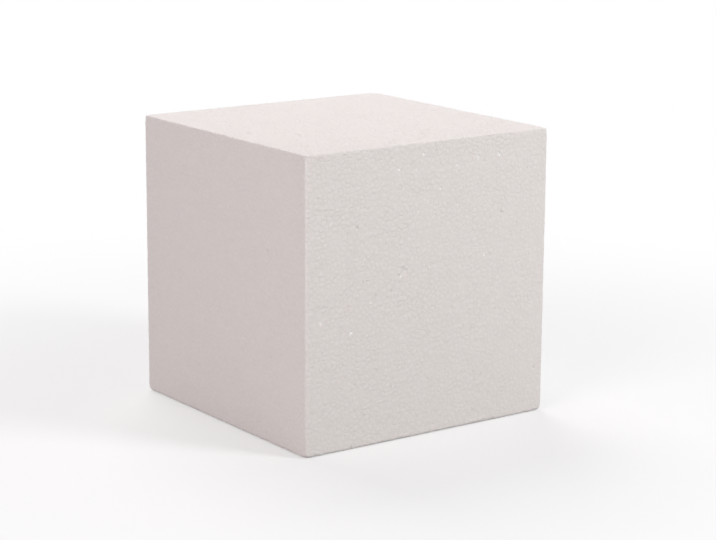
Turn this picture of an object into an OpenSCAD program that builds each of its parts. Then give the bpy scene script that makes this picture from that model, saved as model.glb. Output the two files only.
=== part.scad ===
// Foam block, cut from expanded bead polystyrene.
// It is one solid piece. A hot wire cut its six flat faces in three passes, so the body
// is what three prisms share, one prism for each pass. The twelve edges have the small
// radii that the wire and handling leave. Here and there a bead that the wire had nearly
// cut through came away, and it left a round dimple in the face.

/* [Block] */
// Width of the block, from left to right
block_w = 150; // [80:1:300]
// Depth of the block, from front to back
block_d = 150; // [80:1:300]
// Height of the block
block_h = 150; // [80:1:300]

/* [Edges] */
// Radius of the four top edges
top_edge_r = 0.8; // [0.4:0.1:4]
// Radius of the four upright edges
upright_edge_r = 1.1; // [0.4:0.1:4]
// Radius of the four bottom edges, which wear most
bottom_edge_r = 1.6; // [0.4:0.1:4]

/* [Lost beads] */
// Diameter of the dimple that one whole bead leaves
bead_dimple_d = 3; // [1.5:0.1:5]
// Depth of that dimple
bead_dimple_depth = 0.6; // [0.3:0.1:1.5]
// Diameter of the one wide dimple, where a few beads were torn out together
torn_dimple_d = 5.2; // [3.6:0.1:8]
// Depth of that wide dimple
torn_dimple_depth = 0.45; // [0.3:0.05:1]

/* [Hidden] */
$fn = 48;

// Where the wide dimple lies, as shares of the front face's width and height from its
// lower left
torn_place = [0.39, 0.577];
// The bead that came away whole at its rim: how far it lies to the right of the wide
// dimple's middle and above it, as shares of that dimple's diameter, and how much of a
// whole bead's dimple it left
rim_bead = [-0.2, -0.34, 0.7];

// The single dimples on each face, seen from outside: how far across the face, how far
// up it, and how much of a whole bead's dimple
FRONT = [
    [0.06, 0.45, 0.75],
    [0.18, 0.40, 0.60],
    [0.24, 0.64, 0.50],
    [0.26, 0.49, 0.55],
    [0.28, 0.26, 0.45],
    [0.37, 0.92, 0.60],
    [0.44, 0.91, 0.60],
    [0.47, 0.96, 0.65],
    [0.49, 0.57, 0.50],
    [0.54, 0.84, 0.60],
    [0.61, 0.91, 0.60],
    [0.70, 0.93, 0.75],
    [0.73, 0.59, 0.55],
    [0.79, 0.93, 0.85],
    [0.88, 0.55, 0.45],
    [0.91, 0.87, 0.50],
    [0.96, 0.16, 0.50]
];
LEFT = [
    [0.23, 0.90, 0.50],
    [0.51, 0.87, 0.40],
    [0.70, 0.06, 0.50],
    [0.93, 0.78, 0.50],
    [0.97, 0.83, 0.65]
];
TOP = [
    [0.06, 0.40, 0.60],
    [0.18, 0.33, 0.50],
    [0.33, 0.21, 0.40],
    [0.38, 0.81, 0.50],
    [0.73, 0.95, 0.60],
    [0.91, 0.32, 0.60]
];
RIGHT = [
    [0.12, 0.71, 0.50],
    [0.31, 0.38, 0.80],
    [0.45, 0.84, 0.40],
    [0.58, 0.15, 0.60],
    [0.67, 0.62, 0.50],
    [0.86, 0.90, 0.40],
    [0.90, 0.29, 0.65]
];
BACK = [
    [0.09, 0.24, 0.60],
    [0.22, 0.82, 0.50],
    [0.37, 0.55, 0.40],
    [0.52, 0.13, 0.45],
    [0.64, 0.74, 0.90],
    [0.83, 0.41, 0.50],
    [0.94, 0.88, 0.60]
];
BOTTOM = [
    [0.14, 0.17, 0.65],
    [0.26, 0.69, 0.50],
    [0.43, 0.34, 0.60],
    [0.71, 0.86, 0.45],
    [0.82, 0.23, 0.80],
    [0.93, 0.58, 0.50]
];

// Each face's name, width, height, centre and turn. The turn takes a shape that faces
// up, with its top to the back, to one that faces out of the block, upright.
FACES = [
    ["front", block_w, block_h, [0, -block_d / 2, block_h / 2], [90, 0, 0]],
    ["right", block_d, block_h, [block_w / 2, 0, block_h / 2], [90, 0, 90]],
    ["back", block_w, block_h, [0, block_d / 2, block_h / 2], [90, 0, 180]],
    ["left", block_d, block_h, [-block_w / 2, 0, block_h / 2], [90, 0, -90]],
    ["top", block_w, block_d, [0, 0, block_h], [0, 0, 0]],
    ["bottom", block_w, block_d, [0, 0, 0], [180, 0, 0]]
];

// What the dimples on a face are, by the face's name
function dimples(name) =
    name == "front" ? FRONT :
    name == "right" ? RIGHT :
    name == "back" ? BACK :
    name == "left" ? LEFT :
    name == "top" ? TOP : BOTTOM;

// A rectangle that stands on the X axis, with its own radius at the low and high corners
module cut_profile(width, height, low_r, high_r) {
    union() {
        translate([-width / 2, low_r]) square([width, height - low_r - high_r]);
        translate([-width / 2 + low_r, 0]) square([width - 2 * low_r, height / 2]);
        translate([-width / 2 + high_r, height / 2]) square([width - 2 * high_r, height / 2]);
        for (side = [-1, 1]) {
            translate([side * (width / 2 - low_r), low_r]) circle(r = low_r);
            translate([side * (width / 2 - high_r), height - high_r]) circle(r = high_r);
        }
    }
}

// The block as the wire leaves it: the part that the three passes share
module cut_block() {
    intersection() {
        translate([0, block_d / 2, 0])
            rotate([90, 0, 0])
                linear_extrude(block_d)
                    cut_profile(block_w, block_h, bottom_edge_r, top_edge_r);
        translate([-block_w / 2, 0, 0])
            rotate([90, 0, 90])
                linear_extrude(block_w)
                    cut_profile(block_d, block_h, bottom_edge_r, top_edge_r);
        translate([0, -block_d / 2, 0])
            linear_extrude(block_h)
                cut_profile(block_w, block_d, upright_edge_r, upright_edge_r);
    }
}

// Puts a shape on a face: across and up are shares of the face from its lower left
module on_face(face, across, up) {
    translate(face[3])
        rotate(face[4])
            translate([(across - 0.5) * face[1], (up - 0.5) * face[2], 0])
                children();
}

// A ball that bites a round dimple of this width and depth out of a face below it
module dimple_ball(width, depth) {
    ball_r = (width * width / 4 + depth * depth) / (2 * depth);
    translate([0, 0, ball_r - depth]) sphere(r = ball_r);
}

// The dimple of a bead that left this share of a whole bead's dimple
module bead_dimple(share) {
    dimple_ball(bead_dimple_d * share, bead_dimple_depth * share);
}

// The wide dimple, with the dimple of the whole bead at its rim
module torn_beads() {
    dimple_ball(torn_dimple_d, torn_dimple_depth);
    translate([rim_bead[0] * torn_dimple_d, rim_bead[1] * torn_dimple_d, 0])
        bead_dimple(rim_bead[2]);
}

// Every lost bead on every face
module lost_beads() {
    for (face = FACES)
        for (place = dimples(face[0]))
            on_face(face, place[0], place[1])
                bead_dimple(place[2]);
    on_face(FACES[0], torn_place[0], torn_place[1])
        torn_beads();
}

module foam_block() {
    color([0.94, 0.92, 0.91])
        difference() {
            cut_block();
            lost_beads();
        }
}

foam_block();
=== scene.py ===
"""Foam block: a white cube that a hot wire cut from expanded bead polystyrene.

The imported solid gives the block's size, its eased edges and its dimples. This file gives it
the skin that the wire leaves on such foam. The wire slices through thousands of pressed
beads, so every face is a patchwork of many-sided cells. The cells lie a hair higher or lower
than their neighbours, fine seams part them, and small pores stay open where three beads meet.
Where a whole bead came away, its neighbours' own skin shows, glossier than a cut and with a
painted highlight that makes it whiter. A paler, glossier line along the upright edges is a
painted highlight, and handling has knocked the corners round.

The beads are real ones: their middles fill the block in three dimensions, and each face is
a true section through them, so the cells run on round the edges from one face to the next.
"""

import math
from collections import namedtuple

import bmesh
import bpy
import numpy as np
from mathutils import Euler, Matrix, Vector, noise
from mathutils.bvhtree import BVHTree
from mathutils.geometry import delaunay_2d_cdt
from mathutils.kdtree import KDTree


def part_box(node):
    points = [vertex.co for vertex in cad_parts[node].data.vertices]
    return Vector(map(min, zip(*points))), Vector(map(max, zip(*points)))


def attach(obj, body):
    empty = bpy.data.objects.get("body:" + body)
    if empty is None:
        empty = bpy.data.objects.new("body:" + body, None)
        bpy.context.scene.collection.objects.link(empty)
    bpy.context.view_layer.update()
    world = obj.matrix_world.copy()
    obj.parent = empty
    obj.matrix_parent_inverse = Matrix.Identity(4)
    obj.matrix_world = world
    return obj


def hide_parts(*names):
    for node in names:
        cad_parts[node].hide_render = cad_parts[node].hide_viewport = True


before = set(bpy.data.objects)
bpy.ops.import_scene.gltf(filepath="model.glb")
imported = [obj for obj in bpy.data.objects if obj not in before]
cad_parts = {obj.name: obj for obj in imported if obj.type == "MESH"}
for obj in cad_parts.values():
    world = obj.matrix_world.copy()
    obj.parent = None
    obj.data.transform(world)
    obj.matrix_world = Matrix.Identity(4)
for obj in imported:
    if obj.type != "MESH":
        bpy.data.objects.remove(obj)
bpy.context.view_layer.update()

bl_info = {
    "name": "Foam block",
    "version": (1, 0, 0),
    "blender": (4, 5, 0),
    "location": "3D View > Sidebar > Foam block",
    "description": "Dresses a foam block in its bead-grained skin and sets it on a studio stage",
    "category": "Object",
}

MM = 0.001
NODE = "foam_block"
PIECE = "bead_foam_block"
LOW, HIGH = (np.array(corner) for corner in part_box(NODE))
MIDDLE = (LOW + HIGH) / 2

# Rows of points that follow each edge of the block round its easing, by their distance
# from the sharp edge
EDGE_ROWS = (0.0, 0.35 * MM, 0.9 * MM, 1.8 * MM)
# A bead that such a row crosses for longer than this gets a point halfway
LONGEST_STOP = 1.6 * MM
# The rays that find the solid's surface fan out round the edges from a box this far inside
FAN_DEPTH = 4 * MM
# Two points this close on a side are the same point, and points of two sides that are this
# close to each other at their common edge are joined
TOUCH = 0.0002 * MM
WELD = 0.02 * MM
# A cell smaller than this gets no point in its middle, in square metres
SMALLEST_MIDDLE = 1.0 * MM**2
# How far a bead's shoulder reaches in from its seam, and the power that curves it
SHOULDER = 0.9 * MM
SHOULDER_CURVE = 2

# How rough each pass of the wire left its pair of faces: left and right, front and back,
# then top and bottom. A slow pass glazes the beads, and a fast one drags at them.
PASS_RELIEF = np.array([0.55, 0.54, 0.92])
# How much rougher the cut gets from one end of the block to the other, along X, Y and Z
DRAG = np.array([-0.25, -0.7, 0.5])
# Where the foam is denser, the wire leaves it smoother: how large such patches are, and how
# much they differ
PATCH_SIZE = 14 * MM
PATCHINESS = 0.3
# A painted highlight, a paler and glossier line along the upright edges, the most at the top:
# its width on each face
EDGE_HIGHLIGHT_WIDTH = 0.95 * MM
# How deep each of the eight corners is knocked in, at the foot and then at the top, the
# front pair before the back pair and left before right, and how far that reaches
CORNER_WEAR = np.array([[[0.8, 1.0], [0.5, 0.7]], [[0.35, 0.55], [0.35, 1.5]]]) * MM
CORNER_REACH = 4.5 * MM

Side = namedtuple("Side", "normal across up plane")
Dimple = namedtuple("Dimple", "x y radius")


# ---------------------------------------------------------------- settings


def linear(hex_colour):
    """An sRGB hex colour as linear red, green and blue."""
    parts = [int(hex_colour[i : i + 2], 16) / 255 for i in (1, 3, 5)]
    return tuple(c / 12.92 if c <= 0.04045 else ((c + 0.055) / 1.055) ** 2.4 for c in parts)


class BeadSkin(bpy.types.PropertyGroup):
    """Sizes of the beads and of the relief that the wire leaves on them."""

    spacing: bpy.props.FloatProperty(
        name="Bead spacing",
        description="Distance between the middles of two beads that touch",
        default=3.0 * MM,
        min=2.5 * MM,
        max=8 * MM,
        precision=4,
        unit="LENGTH",
    )
    shake: bpy.props.FloatProperty(
        name="Shake",
        description="How far a bead strays from even packing, as a share of the spacing",
        default=0.55,
        min=0,
        max=0.6,
        subtype="FACTOR",
    )
    seam_depth: bpy.props.FloatProperty(
        name="Seam depth",
        description="How deep the seams between the beads lie",
        default=0.19 * MM,
        min=0,
        max=0.5 * MM,
        precision=5,
        unit="LENGTH",
    )
    bead_depth: bpy.props.FloatProperty(
        name="Bead depth",
        description="How deep the middles of the cut beads lie on average",
        default=0.08 * MM,
        min=0,
        max=0.3 * MM,
        precision=5,
        unit="LENGTH",
    )
    bead_step: bpy.props.FloatProperty(
        name="Bead step",
        description="How much one bead lies higher or lower than the next",
        default=0.055 * MM,
        min=0,
        max=0.1 * MM,
        precision=5,
        unit="LENGTH",
    )
    bead_tilt: bpy.props.FloatProperty(
        name="Bead tilt",
        description="How far a cut bead leans from the face",
        default=math.radians(3.4),
        min=0,
        max=math.radians(6),
        subtype="ANGLE",
    )
    pore_width: bpy.props.FloatProperty(
        name="Pore width",
        description="How far an open pore reaches from where three beads meet",
        default=0.4 * MM,
        min=0.1 * MM,
        max=1.5 * MM,
        precision=4,
        unit="LENGTH",
    )
    pore_depth: bpy.props.FloatProperty(
        name="Pore depth",
        description="Depth of a wide open pore",
        default=0.3 * MM,
        min=0,
        max=2 * MM,
        precision=4,
        unit="LENGTH",
    )
    pore_share: bpy.props.FloatProperty(
        name="Open pores",
        description="Share of the places where three beads meet that stay open",
        default=0.02,
        min=0,
        max=1,
        subtype="FACTOR",
    )
    lost_share: bpy.props.FloatProperty(
        name="Lost slivers",
        description="Share of the thin slivers of beads that fell out and left a hollow",
        default=0.3,
        min=0,
        max=1,
        subtype="FACTOR",
    )
    lost_depth: bpy.props.FloatProperty(
        name="Thickest sliver",
        description="The thickest sliver of a bead that falls out",
        default=0.5 * MM,
        min=0.1 * MM,
        max=2 * MM,
        precision=4,
        unit="LENGTH",
    )
    chip_share: bpy.props.FloatProperty(
        name="Chipped beads",
        description="Share of the beads along the edges that have lost a little",
        default=0.10,
        min=0,
        max=1,
        subtype="FACTOR",
    )
    chip_depth: bpy.props.FloatProperty(
        name="Chip depth",
        description="The most that a chipped bead has lost",
        default=0.35 * MM,
        min=0,
        max=1 * MM,
        precision=4,
        unit="LENGTH",
    )
    wave_length: bpy.props.FloatProperty(
        name="Wave length",
        description="Half the distance from crest to crest where the wire wandered",
        default=4 * MM,
        min=2 * MM,
        max=40 * MM,
        precision=4,
        unit="LENGTH",
    )
    wave_depth: bpy.props.FloatProperty(
        name="Wave depth",
        description="How far the wire wandered in and out on average",
        default=0.08 * MM,
        min=0,
        max=0.5 * MM,
        precision=5,
        unit="LENGTH",
    )
    seed: bpy.props.IntProperty(
        name="Seed",
        description="Another number packs the beads another way",
        default=7,
        min=0,
    )


class FoamFinish(bpy.types.PropertyGroup):
    """Colours of the foam, with its painted seam shade and painted highlight."""

    colour: bpy.props.FloatVectorProperty(
        name="Foam",
        description="Colour of the cut foam",
        default=linear("#F3EEEB"),
        min=0,
        max=1,
        size=3,
        subtype="COLOR",
    )
    # Painted shade: this colour darkens the seams and the open pores
    painted_seam_shade: bpy.props.FloatVectorProperty(
        name="Seam",
        description="Colour in the seams and pores, where less light comes back",
        default=linear("#DED8D4"),
        min=0,
        max=1,
        size=3,
        subtype="COLOR",
    )
    # Painted highlight: this colour whitens a whole bead's skin and the upright edges
    painted_skin_highlight: bpy.props.FloatVectorProperty(
        name="Bead skin",
        description="Colour of a bead's own skin, which shows where its neighbour came away",
        default=linear("#FCFAF8"),
        min=0,
        max=1,
        size=3,
        subtype="COLOR",
    )


class StudioStage(bpy.types.PropertyGroup):
    """The floor, the lamps and the camera."""

    floor_colour: bpy.props.FloatVectorProperty(
        name="Floor",
        description="Colour of the studio floor",
        default=linear("#FAFAFA"),
        min=0,
        max=1,
        size=3,
        subtype="COLOR",
    )
    bounce_colour: bpy.props.FloatVectorProperty(
        name="Floor's bounce",
        description="Colour that the floor throws back on the block",
        default=linear("#BCBCBC"),
        min=0,
        max=1,
        size=3,
        subtype="COLOR",
    )
    ambient: bpy.props.FloatProperty(
        name="Ambient light",
        description="Strength of the even light from all round",
        default=0.2,
        min=0,
        max=1,
        subtype="FACTOR",
    )
    lens: bpy.props.FloatProperty(
        name="Lens",
        description="Focal length of the camera",
        default=109.8,
        min=20,
        max=300,
        unit="CAMERA",
    )


# ---------------------------------------------------------------- the beads


# How the packing is turned in the block, so that none of its rows lies along a face
PACKING_TURN = (0.5, 0.3, 0.8)
# Shares of the spacing: how close two beads may come, how deep in and how far out from the
# faces beads are packed, how far from a face a bead's middle lies where the wire still cuts
# the bead, how far the cut reaches from that middle, and how far off its neighbours lie
CLOSEST_BEADS = 0.78
PACKED_TO = 1.6
CUT_REACH = 0.8
CELL_REACH = 1.2
NEIGHBOUR_REACH = 2
# How often crowded beads are pushed apart
CROWDING_ROUNDS = 4
# A bead's tilt stays under this many times the usual one, and a chip over this share of the
# deepest one
MOST_TILT = 2
LEAST_CHIP = 0.3


def kd_tree(places):
    """A search tree of places."""
    tree = KDTree(len(places))
    for index, place in enumerate(places):
        tree.insert(place, index)
    tree.balance()
    return tree


class BeadPack:
    """The foam's beads near the block's faces, and what chance gives each of them."""

    def __init__(self, skin):
        chance = np.random.default_rng(skin.seed)
        self.spacing = skin.spacing
        self.middles = self.packed(chance, skin.shake)
        count = len(self.middles)
        # In turn: each bead's step and lean, its luck with open pores, its tone, and how much it
        # lost where the wire left a thin sliver or an edge has a chip
        self.step = skin.bead_step * chance.uniform(-1, 1, count)
        tilt = chance.normal(0, 1, (count, 3)).clip(-MOST_TILT, MOST_TILT)
        self.tilt = math.tan(skin.bead_tilt) * tilt
        self.luck = chance.uniform(0, 1, count)
        self.tone = chance.uniform(0, 1, count)
        lost = chance.uniform(0, 1, count) < skin.lost_share
        self.hollow = self.slivers(skin) * lost
        chipped = chance.uniform(0, 1, count) < skin.chip_share
        self.chip = skin.chip_depth * chipped * chance.uniform(LEAST_CHIP, 1, count)
        self.tree = kd_tree(self.middles)

    def packed(self, chance, shake):
        """Bead middles: the closest packing, shaken well, and crowded beads pushed apart again."""
        step = self.spacing / math.sqrt(2)
        reach = int((np.linalg.norm(HIGH - LOW) / 2 + self.spacing) / step) + 1
        row = np.arange(-reach, reach + 1)
        lattice = np.stack(np.meshgrid(row, row, row, indexing="ij"), -1).reshape(-1, 3)
        lattice = lattice[lattice.sum(1) % 2 == 0] * step
        turn = np.array(Euler(PACKING_TURN).to_matrix())
        middles = lattice @ turn.T + MIDDLE
        under_face = np.minimum(middles - LOW, HIGH - middles).min(1)
        middles = middles[abs(under_face) < PACKED_TO * self.spacing]
        most = shake * self.spacing
        middles = middles + chance.uniform(-most, most, middles.shape)
        for _ in range(CROWDING_ROUNDS):
            middles = self.pushed_apart(middles)
        return middles

    def pushed_apart(self, middles):
        """Bead middles after each pair that is too close has moved apart by half its overlap."""
        closest = CLOSEST_BEADS * self.spacing
        tree = kd_tree(middles)
        moved = middles.copy()
        for index, middle in enumerate(middles):
            for place, other, gap in tree.find_range(middle, closest):
                if other != index:
                    moved[index] += (middle - place) * ((closest - gap) / (2 * gap))
        return moved

    def slivers(self, skin):
        """How thick a sliver of each bead the wire left, where it left only a sliver."""
        outside = np.maximum(LOW - self.middles, self.middles - HIGH).max(1)
        thickness = self.spacing / 2 - outside
        return np.where((outside > 0) & (thickness < skin.lost_depth), thickness.clip(0, None), 0)

    def section(self, side):
        """The outline of each bead that a face cuts, by the bead's number."""
        box = [(LOW[axis], HIGH[axis]) for axis in (side.across, side.up)]
        near = abs(self.middles[:, side.normal] - side.plane) < CUT_REACH * self.spacing
        for axis, (low, high) in zip((side.across, side.up), box):
            place = self.middles[:, axis]
            near &= (place > low - self.spacing) & (place < high + self.spacing)
        cells = {}
        for index in np.nonzero(near)[0]:
            outline = self.cell(int(index), side, box)
            if outline:
                cells[int(index)] = outline
        return cells

    def cell(self, index, side, box):
        """One bead's outline on a face: what the planes halfway to its neighbours leave."""
        middle = self.middles[index]
        reach = CELL_REACH * self.spacing
        spans = []
        for axis, (low, high) in zip((side.across, side.up), box):
            spans.append((max(low, middle[axis] - reach), min(high, middle[axis] + reach)))
        (left, right), (foot, head) = spans
        if left >= right or foot >= head:
            return None
        outline = [(left, foot), (right, foot), (right, head), (left, head)]
        lift = side.plane - middle[side.normal]
        around = self.tree.find_range(middle, NEIGHBOUR_REACH * self.spacing)
        for _, other, gap in sorted(around, key=lambda found: found[2])[1:]:
            offs = [(x - middle[side.across], y - middle[side.up]) for x, y in outline]
            farthest = max(x**2 + y**2 for x, y in offs)
            # From this gap on, no plane halfway to a neighbour reaches the outline
            if gap * gap / 4 > farthest + lift * lift:
                break
            neighbour = self.middles[other]
            away = neighbour - middle
            across, up = away[side.across], away[side.up]
            slope = math.hypot(across, up)
            limit = (neighbour @ neighbour - middle @ middle) / 2 - away[side.normal] * side.plane
            outline = clipped(outline, (across / slope, up / slope, limit / slope))
            if len(outline) < 3:
                return None
        return outline


def clipped(outline, line):
    """What is left of a polygon on the near side of a line."""
    across, up, limit = line
    over = [across * x + up * y - limit for x, y in outline]
    if max(over) <= 0:
        return outline
    kept = []
    for i, (x, y) in enumerate(outline):
        before, here = over[i - 1], over[i]
        if (before > 0) != (here > 0):
            last_x, last_y = outline[i - 1]
            share = before / (before - here)
            kept.append((last_x + share * (x - last_x), last_y + share * (y - last_y)))
        if here <= 0:
            kept.append((x, y))
    return kept


def area(outline):
    """The area of a polygon."""
    total = 0
    for (x0, y0), (x1, y1) in zip(outline, outline[1:] + outline[:1]):
        total += x0 * y1 - x1 * y0
    return abs(total) / 2


# ---------------------------------------------------------------- the mesh


def sides():
    """The block's six sides."""
    for normal in range(3):
        across, up = [axis for axis in range(3) if axis != normal]
        yield Side(normal, across, up, LOW[normal])
        yield Side(normal, across, up, HIGH[normal])


def on_side(side, x, y):
    """A point of a side as a point in space."""
    place = [0, 0, 0]
    place[side.across] = x
    place[side.up] = y
    place[side.normal] = side.plane
    return place


class Drawing:
    """The points and lines on one side that the mesh has to follow."""

    def __init__(self):
        self.points = []
        self.lines = set()
        self.known = {}

    def point(self, x, y):
        """The number of the point at this place."""
        key = (round(x / TOUCH), round(y / TOUCH))
        if key not in self.known:
            self.known[key] = len(self.points)
            self.points.append(Vector((x, y)))
        return self.known[key]

    def path(self, places, closed=False):
        """Joins places by lines, in their order."""
        numbers = [self.point(x, y) for x, y in places]
        pairs = list(zip(numbers, numbers[1:]))
        if closed:
            pairs.append((numbers[-1], numbers[0]))
        self.lines.update((min(pair), max(pair)) for pair in pairs if pair[0] != pair[1])

    def triangles(self, side):
        """Points and triangles that hold every line."""
        found = delaunay_2d_cdt(self.points, sorted(self.lines), [], 0, TOUCH, False)
        points, triangles = found[0], found[2]
        return points, [three for three in triangles if not flat([points[i] for i in three], side)]


def flat(corners, side):
    """Whether a triangle has all three corners on one edge of the side, and so covers nothing."""
    for number, axis in enumerate((side.across, side.up)):
        for level in (LOW[axis], HIGH[axis]):
            if all(abs(corner[number] - level) < TOUCH for corner in corners):
                return True
    return False


# A cell's side has room for the mouths of two open pores from this many pore widths on
PORE_ROOM = 2.5


def draw_cells(drawing, cells, pack, side, skin):
    """The seams between the beads, the middle of each bead and the bowl that a lost one left."""
    for index, outline in cells.items():
        drawing.path(with_pore_mouths(outline, pack, side, skin), closed=True)
        middle = np.mean(outline, axis=0)
        if area(outline) > SMALLEST_MIDDLE:
            drawing.point(*middle)
            if pack.hollow[index]:
                drawing.path([(middle + place) / 2 for place in outline], closed=True)


def with_pore_mouths(outline, pack, side, skin):
    """A cell's outline, with a point each way from every corner that is an open pore."""
    places = []
    for i, corner in enumerate(outline):
        following = outline[(i + 1) % len(outline)]
        run = math.dist(corner, following)
        places.append(corner)
        if run > PORE_ROOM * skin.pore_width:
            share = skin.pore_width / run
            for start, end in ((corner, following), (following, corner)):
                if openness(pack, nearest_beads(pack, on_side(side, *start)), skin) > 0:
                    places.append(tuple(a + share * (b - a) for a, b in zip(start, end)))
    return places


def nearest_beads(pack, place):
    """The numbers of the three beads nearest to a place."""
    return [index for _, index, _ in pack.tree.find_n(place, 3)]


def openness(pack, three_beads, skin):
    """How wide the pore is where three beads meet, from 0 if it is shut to 1."""
    luck = pack.luck[three_beads].sum(-1) % 1
    return (1 - luck / skin.pore_share).clip(0, 1)


def draw_edge_rows(drawing, cells, side):
    """Rows of points along the four edges, broken where the seams cross them."""
    for along, axis in ((0, side.up), (1, side.across)):
        for row in EDGE_ROWS:
            for level in (LOW[axis] + row, HIGH[axis] - row):
                stops = set()
                for outline in cells.values():
                    start, end = crossing(outline, 1 - along, level)
                    if end - start > TOUCH:
                        stops |= {start, end}
                    if end - start > LONGEST_STOP:
                        stops.add((start + end) / 2)
                places = [(stop, level) if along == 0 else (level, stop) for stop in sorted(stops)]
                drawing.path(places)


def crossing(outline, axis, level):
    """Where a polygon crosses a level line: its first and last place along the line."""
    found = []
    for here, there in zip(outline, outline[1:] + outline[:1]):
        low, high = here[axis] - level, there[axis] - level
        if low == 0:
            found.append(here[1 - axis])
        if low * high < 0:
            share = low / (low - high)
            found.append(here[1 - axis] + share * (there[1 - axis] - here[1 - axis]))
    return (min(found), max(found)) if found else (0, 0)


# The rings of points that follow a dimple, as shares of its radius, from just outside its rim
# to near its middle, and how far apart their points lie, with the fewest to a ring
DIMPLE_RINGS = (1.15, 1.0, 0.9, 0.68, 0.38)
RING_STEP = 0.5 * MM
FEWEST_STEPS = 12
# No dimple of the solid is wider or shallower than this
WIDEST_BOWL = 12 * MM
SHALLOWEST_BOWL = 0.1 * MM


def draw_dimples(drawing, dimples):
    """Rings that follow each dimple's rim and bowl."""
    for dimple in dimples:
        steps = max(FEWEST_STEPS, round(2 * math.pi * dimple.radius / RING_STEP))
        turns = [2 * math.pi * i / steps for i in range(steps)]
        for ring in DIMPLE_RINGS:
            x, y, reach = dimple.x, dimple.y, ring * dimple.radius
            places = [(x + reach * math.cos(turn), y + reach * math.sin(turn)) for turn in turns]
            drawing.path(places, closed=True)
        drawing.point(dimple.x, dimple.y)


def bowls_of_solid():
    """The solid's dimples, by side: each is an island of its mesh that is small and sunk."""
    mesh = bmesh.new()
    mesh.from_mesh(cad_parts[NODE].data)
    found = {side: [] for side in sides()}
    seen = set()
    for first in mesh.verts:
        if first in seen:
            continue
        seen.add(first)
        island = [first]
        for vert in island:
            for edge in vert.link_edges:
                other = edge.other_vert(vert)
                if other not in seen:
                    seen.add(other)
                    island.append(other)
        places = np.array([vert.co for vert in island])
        low, high = places.min(0), places.max(0)
        if (high - low).max() > WIDEST_BOWL:
            continue
        for side in found:
            bottom, top = low[side.normal], high[side.normal]
            touches = min(abs(bottom - side.plane), abs(top - side.plane)) < TOUCH
            if touches and top - bottom > SHALLOWEST_BOWL:
                x, y = ((low + high) / 2)[[side.across, side.up]]
                radius = (high - low)[[side.across, side.up]].max() / 2
                found[side].append(Dimple(float(x), float(y), float(radius)))
    mesh.free()
    return found


def from_edge(places):
    """How far each place on the block's faces lies from the nearest edge of the block."""
    return np.sort(np.minimum(places - LOW, HIGH - places), axis=1)[:, 1]


# Which dimples show the skin of a whole bead, with its painted highlight, by their radius:
# smaller ones are pits in cut foam, and the widest one is torn. The highlight ends at the rim,
# whose width is a share of the radius.
SMALLEST_WHOLE = 0.8 * MM
LARGEST_WHOLE = 1.6 * MM
BOWL_RIM = 0.1
# How much of that painted highlight each pair of faces gets: the left and right faces get none
PASS_HIGHLIGHT = (0, 1, 1)


def whole_bead_highlight(places, bowls):
    """Where the painted highlight goes: 1 in the dimples where one bead came away whole, and 0 from
    their rims on.
    """
    gloss_and_painted_highlight = np.zeros(len(places))
    for side, dimples in bowls.items():
        on_this = abs(places[:, side.normal] - side.plane) < TOUCH
        for dimple in dimples:
            if not SMALLEST_WHOLE < dimple.radius < LARGEST_WHOLE:
                continue
            off = places[:, [side.across, side.up]] - (dimple.x, dimple.y)
            share = np.linalg.norm(off, axis=1) / dimple.radius
            kept = PASS_HIGHLIGHT[side.normal] * on_this
            gloss_and_painted_highlight = np.maximum(gloss_and_painted_highlight, kept * ((1 - share) / BOWL_RIM).clip(0, 1))
    return gloss_and_painted_highlight


def knocked_in(places):
    """How deep each place lies for the knocks that rounded the block's corners."""
    from_corner = np.linalg.norm(np.minimum(places - LOW, HIGH - places), axis=1)
    x, y, z = (places > MIDDLE).astype(int).T
    return CORNER_WEAR[z, y, x] * (1 - from_corner / CORNER_REACH).clip(0, 1) ** 2


def edge_highlight(places):
    """How much painted highlight and gloss each place gets: 1 at the top of an upright edge, 0 at
    its foot.
    """
    height = (places[:, 2] - LOW[2]) / (HIGH[2] - LOW[2])
    from_upright = np.minimum(places - LOW, HIGH - places)[:, :2].max(1)
    # The painted highlight is even over half the line's width and fades over the other half
    return height * (2 - 2 * from_upright / EDGE_HIGHLIGHT_WIDTH).clip(0, 1)


def skin_depth(places, outward, pack, bowls, skin):
    """How deep the skin lies under the solid's surface at each place, and what marks it there."""
    nearest = np.array([nearest_beads(pack, place) for place in places])
    bead = nearest[:, 0]
    middles = pack.middles[nearest]
    away = ((places[:, None] - middles) ** 2).sum(2)
    # How far each place lies from the seam to its second and to its third nearest bead
    to_second, to_third = (
        (away[:, n] - away[:, 0]) / (2 * np.linalg.norm(middles[:, n] - middles[:, 0], axis=1))
        for n in (1, 2)
    )
    seam = (1 - to_second / SHOULDER).clip(0, 1) ** SHOULDER_CURVE
    lean = (pack.tilt[bead] * (places - middles[:, 0])).sum(1)
    relief = (skin.bead_depth + pack.step[bead] + lean) * (1 - seam) + skin.seam_depth * seam
    near_second = (1 - to_second / skin.pore_width).clip(0, 1)
    corner = near_second * (1 - to_third / skin.pore_width).clip(0, 1)
    pore = corner * openness(pack, nearest, skin)
    hollow = pack.hollow[bead] * (1 - seam)
    chip = pack.chip[bead] * (1 - from_edge(places) / EDGE_ROWS[-1]).clip(0, 1)
    drag = 1 + (places - MIDDLE) / (HIGH - LOW) @ DRAG
    patch = 1 + PATCHINESS * np.array([noise.noise(place / PATCH_SIZE) for place in places])
    roughness = outward**2 @ PASS_RELIEF * drag * patch
    wave = np.array([1 + noise.noise(place / skin.wave_length) for place in places])
    depth = (relief + skin.pore_depth * pore + hollow) * roughness + chip * (1 - seam)
    depth += skin.wave_depth * wave
    depth += knocked_in(places)
    marks = {
        "rim": to_second,
        # Painted shade in the open pores
        "pore": pore * roughness,
        "dome": np.where(pack.hollow[bead] > 0, 0, roughness),
        "roughness": roughness,
        "tone": pack.tone[bead],
        # The painted highlight on whole-bead skin and along the upright edges, which also sets
        # their gloss
        "gloss_and_painted_highlight": np.maximum(whole_bead_highlight(places, bowls), edge_highlight(places)),
    }
    return depth.clip(0, None), marks


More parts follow.
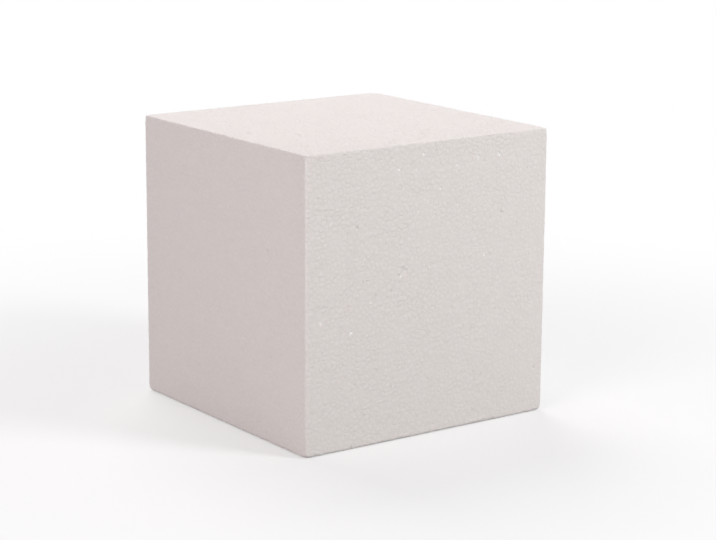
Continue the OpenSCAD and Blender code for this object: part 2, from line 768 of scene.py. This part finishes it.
def solid_surface(places):
    """The solid's surface under each place of the sharp block, and which way it looks."""
    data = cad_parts[NODE].data
    data.calc_loop_triangles()
    corners = [vertex.co for vertex in data.vertices]
    tree = BVHTree.FromPolygons(corners, [three.vertices for three in data.loop_triangles])
    inner = places.clip(LOW + FAN_DEPTH, HIGH - FAN_DEPTH)
    outward = places - inner
    outward /= np.linalg.norm(outward, axis=1)[:, None]
    surface = places.copy()
    for i, (place, way) in enumerate(zip(places, outward)):
        start = Vector(place) + Vector(way) * MM
        hit = tree.ray_cast(start, -Vector(way), 2 * FAN_DEPTH)[0]
        if hit is None:
            raise RuntimeError("a ray missed the packed solid")
        surface[i] = hit
    return surface, outward


def block_mesh(skin):
    """The block's skin as one closed mesh."""
    pack = BeadPack(skin)
    bowls = bowls_of_solid()
    mesh = bmesh.new()
    for side in sides():
        cells = pack.section(side)
        drawing = Drawing()
        draw_cells(drawing, cells, pack, side, skin)
        draw_edge_rows(drawing, cells, side)
        draw_dimples(drawing, bowls[side])
        points, triangles = drawing.triangles(side)
        verts = [mesh.verts.new(on_side(side, *point)) for point in points]
        for triangle in triangles:
            mesh.faces.new([verts[i] for i in triangle])
    at_edges = from_edge(np.array([vert.co for vert in mesh.verts])) < WELD
    border = [vert for vert, at_edge in zip(mesh.verts, at_edges) if at_edge]
    bmesh.ops.remove_doubles(mesh, verts=border, dist=WELD)
    bmesh.ops.recalc_face_normals(mesh, faces=mesh.faces)
    places = np.array([vert.co for vert in mesh.verts])
    surface, outward = solid_surface(places)
    depth, marks = skin_depth(places, outward, pack, bowls, skin)
    for vert, place in zip(mesh.verts, surface - outward * depth[:, None]):
        vert.co = place
    data = bpy.data.meshes.new(PIECE)
    mesh.to_mesh(data)
    loose_edges = sum(not edge.is_manifold for edge in mesh.edges)
    mesh.free()
    if loose_edges:
        raise RuntimeError(f"the skin isn't closed: {loose_edges} edges have no second face")
    for name, values in marks.items():
        mark = data.attributes.new(name, "FLOAT", "POINT")
        mark.data.foreach_set("value", values.astype(np.float32))
    data.shade_smooth()
    return data


# ---------------------------------------------------------------- the finish


def add_node(tree, kind, inputs=(), **settings):
    """Adds a node, sets it up, and links or fills its inputs by name or number."""
    node = tree.nodes.new(kind)
    for name, value in settings.items():
        setattr(node, name, value)
    for name, value in dict(inputs).items():
        if isinstance(value, bpy.types.NodeSocket):
            tree.links.new(value, node.inputs[name])
        else:
            node.inputs[name].default_value = value
    return node


def new_material(name):
    """A material with an empty node tree and its output node."""
    material = bpy.data.materials.new(name)
    material.use_nodes = True
    material.node_tree.nodes.clear()
    return material, material.node_tree, add_node(material.node_tree, "ShaderNodeOutputMaterial")


# How much of the painted seam shade shows in a seam and in a pore, and how far the beads'
# tones differ
SEAM_SHADE = 0.12
PORE_SHADE = 0.8
BEAD_TONE = 0.006
# How far a bead's shoulder rises, and the width and depth of the foam's own cells. Those are
# about 0.1 mm wide, too fine to show, so they are drawn coarser.
SHOULDER_RISE = 0.2 * MM
CELL_SIZE = 1.2 * MM
CELL_DEPTH = 0.22 * MM
# How rough the cut foam and the skin of a whole bead are
CUT_ROUGHNESS = 0.8
SKIN_ROUGHNESS = 0.45


def bead_foam(finish):
    """Expanded bead polystyrene, cut by hot wire.

    It is matt and a warm white. A little light gets in between the cells and softens the
    relief, and only the skin of a whole bead and the upright edges have a faint gloss. Seams
    and pores carry painted shade, and that skin and those edges a painted highlight.
    """
    material, tree, output = new_material("expanded_polystyrene_hot_wire_cut")
    marks = {
        name: add_node(tree, "ShaderNodeAttribute", attribute_name=name).outputs["Fac"]
        for name in ("rim", "pore", "dome", "roughness", "tone", "gloss_and_painted_highlight")
    }
    # From 1 in a seam to 0 where the bead's shoulder ends, along the same curve as the mesh
    near_seam = add_node(
        tree,
        "ShaderNodeMapRange",
        {"Value": marks["rim"], "From Max": SHOULDER, "To Min": 1, "To Max": 0},
    ).outputs[0]
    seam = add_node(
        tree, "ShaderNodeMath", {0: near_seam, 1: SHOULDER_CURVE}, operation="POWER"
    ).outputs[0]
    # Painted shade: a seam or a pore is drawn darker than the bead's cut face
    seam_shade = add_node(
        tree, "ShaderNodeMath", {0: seam, 1: SEAM_SHADE}, operation="MULTIPLY"
    ).outputs[0]
    shade = add_node(
        tree,
        "ShaderNodeMath",
        {0: marks["pore"], 1: PORE_SHADE, 2: seam_shade},
        operation="MULTIPLY_ADD",
    ).outputs[0]
    colour = add_node(
        tree,
        "ShaderNodeMix",
        {0: shade, 6: (*finish.colour, 1), 7: (*finish.painted_seam_shade, 1)},
        data_type="RGBA",
    ).outputs[2]
    # Beads that swelled more in the mould are a touch lighter than the dense ones
    bead_tone = add_node(
        tree,
        "ShaderNodeMapRange",
        {"Value": marks["tone"], "To Min": 1 - BEAD_TONE, "To Max": 1 + BEAD_TONE},
    ).outputs[0]
    toned = add_node(
        tree, "ShaderNodeVectorMath", {0: colour, "Scale": bead_tone}, operation="SCALE"
    ).outputs[0]
    # Painted highlight: the skin of a whole bead and the upright edges are whiter than a cut, and
    # glossier
    highlighted = add_node(
        tree,
        "ShaderNodeMix",
        {0: marks["gloss_and_painted_highlight"], 6: toned, 7: (*finish.painted_skin_highlight, 1)},
        data_type="RGBA",
    ).outputs[2]
    gloss = add_node(
        tree,
        "ShaderNodeMapRange",
        {"Value": marks["gloss_and_painted_highlight"], "To Min": CUT_ROUGHNESS, "To Max": SKIN_ROUGHNESS},
    ).outputs[0]
    # The mesh has each bead's height, and this rounds its shoulders between the mesh's points
    shoulder = add_node(
        tree, "ShaderNodeMath", {0: seam, 1: marks["dome"]}, operation="MULTIPLY"
    ).outputs[0]
    fall = add_node(
        tree, "ShaderNodeMath", {0: shoulder, 1: -SHOULDER_RISE}, operation="MULTIPLY"
    ).outputs[0]
    place = add_node(tree, "ShaderNodeTexCoord").outputs["Object"]
    cells = add_node(
        tree,
        "ShaderNodeTexNoise",
        {"Vector": place, "Scale": 1 / CELL_SIZE, "Detail": 2, "Roughness": 0.6},
    ).outputs["Fac"]
    rough_cells = add_node(
        tree, "ShaderNodeMath", {0: cells, 1: marks["roughness"]}, operation="MULTIPLY"
    ).outputs[0]
    height = add_node(
        tree,
        "ShaderNodeMath",
        {0: rough_cells, 1: CELL_DEPTH, 2: fall},
        operation="MULTIPLY_ADD",
    ).outputs[0]
    bump = add_node(tree, "ShaderNodeBump", {"Height": height, "Distance": 1.0}).outputs[0]
    # Solid polystyrene has an IOR of 1.59. Its foam is mostly air, so it reflects less.
    shader = add_node(
        tree,
        "ShaderNodeBsdfPrincipled",
        {
            "Base Color": highlighted,
            "Roughness": gloss,
            "IOR": 1.5,
            "Specular IOR Level": 0.25,
            "Subsurface Weight": 0.15,
            "Subsurface Radius": (1, 0.95, 0.9),
            "Subsurface Scale": 1.5 * MM,
            "Normal": bump,
        },
    ).outputs[0]
    tree.links.new(shader, output.inputs["Surface"])
    return material


# ---------------------------------------------------------------- the stage


WHITE = (1, 1, 1, 1)
# The floor is a round sheet, in metres. Between these distances from the middle of the
# block's foot it runs into the white background, and nearer than that this share of it is
# that white.
FLOOR_RADIUS = 6
FLOOR_SEGMENTS = 96
FADE_STARTS = 0.1
FADE_ENDS = 0.5
LEAST_FADE = 0.45


def seen_directly(tree):
    """1 for what the camera, a reflection or a clear material sees, and 0 for lighting."""
    path = add_node(tree, "ShaderNodeLightPath").outputs
    seen = path["Is Camera Ray"]
    for ray in ("Is Glossy Ray", "Is Transmission Ray"):
        seen = add_node(
            tree, "ShaderNodeMath", {0: seen, 1: path[ray]}, operation="MAXIMUM"
        ).outputs[0]
    return seen


def floor_material(stage):
    """Matt white studio paper. Away from the block it runs into the white background."""
    material, tree, output = new_material("matt_white_paper")
    seen = seen_directly(tree)
    colour = add_node(
        tree,
        "ShaderNodeMix",
        {0: seen, 6: (*stage.bounce_colour, 1), 7: (*stage.floor_colour, 1)},
        data_type="RGBA",
    ).outputs[2]
    paper = add_node(tree, "ShaderNodeBsdfDiffuse", {"Color": colour}).outputs[0]
    place = add_node(tree, "ShaderNodeTexCoord").outputs["Object"]
    distance = add_node(
        tree, "ShaderNodeVectorMath", {0: place}, operation="LENGTH"
    ).outputs["Value"]
    fade = add_node(
        tree,
        "ShaderNodeMapRange",
        {"Value": distance, "From Min": FADE_STARTS, "From Max": FADE_ENDS, "To Min": LEAST_FADE},
        interpolation_type="SMOOTHSTEP",
    ).outputs[0]
    white = add_node(tree, "ShaderNodeMath", {0: fade, 1: seen}, operation="MULTIPLY").outputs[0]
    glow = add_node(tree, "ShaderNodeEmission", {"Color": WHITE, "Strength": 1}).outputs[0]
    mixed = add_node(tree, "ShaderNodeMixShader", {0: white, 1: paper, 2: glow}).outputs[0]
    tree.links.new(mixed, output.inputs["Surface"])
    return material


def make_floor(stage):
    """A round sheet of paper under the block."""
    mesh = bmesh.new()
    bmesh.ops.create_circle(mesh, cap_ends=True, segments=FLOOR_SEGMENTS, radius=FLOOR_RADIUS)
    data = bpy.data.meshes.new("studio_floor")
    mesh.to_mesh(data)
    mesh.free()
    floor = bpy.data.objects.new("studio_floor", data)
    floor.location.z = LOW[2]
    data.materials.append(floor_material(stage))
    bpy.context.scene.collection.objects.link(floor)


def make_world(stage):
    """Even light from all round, and a white background behind it."""
    world = bpy.data.worlds.new("studio_world")
    world.use_nodes = True
    tree = world.node_tree
    tree.nodes.clear()
    ambient, white = (
        add_node(tree, "ShaderNodeBackground", {"Color": WHITE, "Strength": strength}).outputs[0]
        for strength in (stage.ambient, 1)
    )
    seen = seen_directly(tree)
    mixed = add_node(tree, "ShaderNodeMixShader", {0: seen, 1: ambient, 2: white}).outputs[0]
    add_node(tree, "ShaderNodeOutputWorld", {"Surface": mixed})
    bpy.context.scene.world = world


# Each softbox by the way it lies from the block: degrees round from the front towards the
# left, degrees up, and metres off. Then its width in metres, its power in watts and its colour.
Softbox = namedtuple("Softbox", "name round up off width power colour")
SOFTBOXES = (
    Softbox("key_light_front", -31, 30, 1.5, 0.4, 10.7, "#FFFFFF"),
    Softbox("fill_light_left", 72, 22, 1.5, 0.8, 9.15, "#FFF4F6"),
    Softbox("top_light_back", -165, 52, 1.5, 0.9, 11.4, "#FFFBFC"),
)


def aimed(place, ahead, roll=0):
    """A matrix that stands at a place and looks ahead along a line."""
    turn = Vector(ahead).to_track_quat("-Z", "Y").to_matrix().to_4x4()
    return Matrix.Translation(place) @ turn @ Matrix.Rotation(roll, 4, "Z")


def make_softbox(box):
    """A square softbox that looks at the block's middle."""
    light = bpy.data.lights.new(box.name, "AREA")
    light.shape = "SQUARE"
    light.size = box.width
    light.energy = box.power
    light.color = linear(box.colour)
    turn, tip = math.radians(box.round), math.radians(box.up)
    level = math.cos(tip)
    way = Vector((-level * math.sin(turn), -level * math.cos(turn), math.sin(tip)))
    lamp = bpy.data.objects.new(box.name, light)
    lamp.matrix_world = aimed(Vector(MIDDLE) + box.off * way, -way)
    bpy.context.scene.collection.objects.link(lamp)


# The camera's place in metres, and its turn, tip and roll in degrees
CAMERA_PLACE = (-0.648, -0.9123, 0.3276)
CAMERA_TURN = 35.8
CAMERA_TIP = 12.92
CAMERA_ROLL = 0.364


def make_camera(stage):
    """The camera, at the block's front left and a little above it."""
    data = bpy.data.cameras.new("camera")
    data.lens = stage.lens
    data.sensor_width = 36
    turn, tip = math.radians(CAMERA_TURN), math.radians(CAMERA_TIP)
    ahead = Vector((math.cos(tip) * math.sin(turn), math.cos(tip) * math.cos(turn), -math.sin(tip)))
    camera = bpy.data.objects.new("camera", data)
    camera.matrix_world = aimed(CAMERA_PLACE, ahead, math.radians(CAMERA_ROLL))
    bpy.context.scene.collection.objects.link(camera)
    bpy.context.scene.camera = camera


# ---------------------------------------------------------------- operators


class FOAM_OT_dress_block(bpy.types.Operator):
    """Build the foam block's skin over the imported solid"""

    bl_idname = "foam.dress_block"
    bl_label = "Dress the block"
    bl_options = {"REGISTER", "UNDO"}

    def execute(self, context):
        data = block_mesh(context.scene.foam_skin)
        data.materials.append(bead_foam(context.scene.foam_finish))
        piece = bpy.data.objects.new(PIECE, data)
        context.scene.collection.objects.link(piece)
        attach(piece, "root")
        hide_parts(NODE)
        return {"FINISHED"}


class FOAM_OT_set_stage(bpy.types.Operator):
    """Set up the floor, the lamps and the camera"""

    bl_idname = "foam.set_stage"
    bl_label = "Set the stage"
    bl_options = {"REGISTER", "UNDO"}

    def execute(self, context):
        stage = context.scene.foam_stage
        context.scene.view_settings.view_transform = "Standard"
        make_floor(stage)
        make_world(stage)
        for box in SOFTBOXES:
            make_softbox(box)
        make_camera(stage)
        return {"FINISHED"}


class FOAM_PT_sidebar(bpy.types.Panel):
    """The foam block's settings and steps"""

    bl_idname = "FOAM_PT_sidebar"
    bl_label = "Foam block"
    bl_space_type = "VIEW_3D"
    bl_region_type = "UI"
    bl_category = "Foam block"

    def draw(self, context):
        for group, operator in (
            (context.scene.foam_skin, FOAM_OT_dress_block),
            (context.scene.foam_finish, None),
            (context.scene.foam_stage, FOAM_OT_set_stage),
        ):
            box = self.layout.box()
            for name in group.__annotations__:
                box.prop(group, name)
            if operator:
                box.operator(operator.bl_idname)


SETTINGS = {"foam_skin": BeadSkin, "foam_finish": FoamFinish, "foam_stage": StudioStage}
CLASSES = (*SETTINGS.values(), FOAM_OT_dress_block, FOAM_OT_set_stage, FOAM_PT_sidebar)


def register():
    """Make the settings, steps and panel known to Blender."""
    for cls in CLASSES:
        bpy.utils.register_class(cls)
    for name, group in SETTINGS.items():
        setattr(bpy.types.Scene, name, bpy.props.PointerProperty(type=group))


def unregister():
    """Take them away again, in the other order."""
    for name in SETTINGS:
        delattr(bpy.types.Scene, name)
    for cls in reversed(CLASSES):
        bpy.utils.unregister_class(cls)


def main():
    """Dress the block and set the stage."""
    register()
    bpy.ops.foam.dress_block()
    bpy.ops.foam.set_stage()


if __name__ == "__main__":
    main()
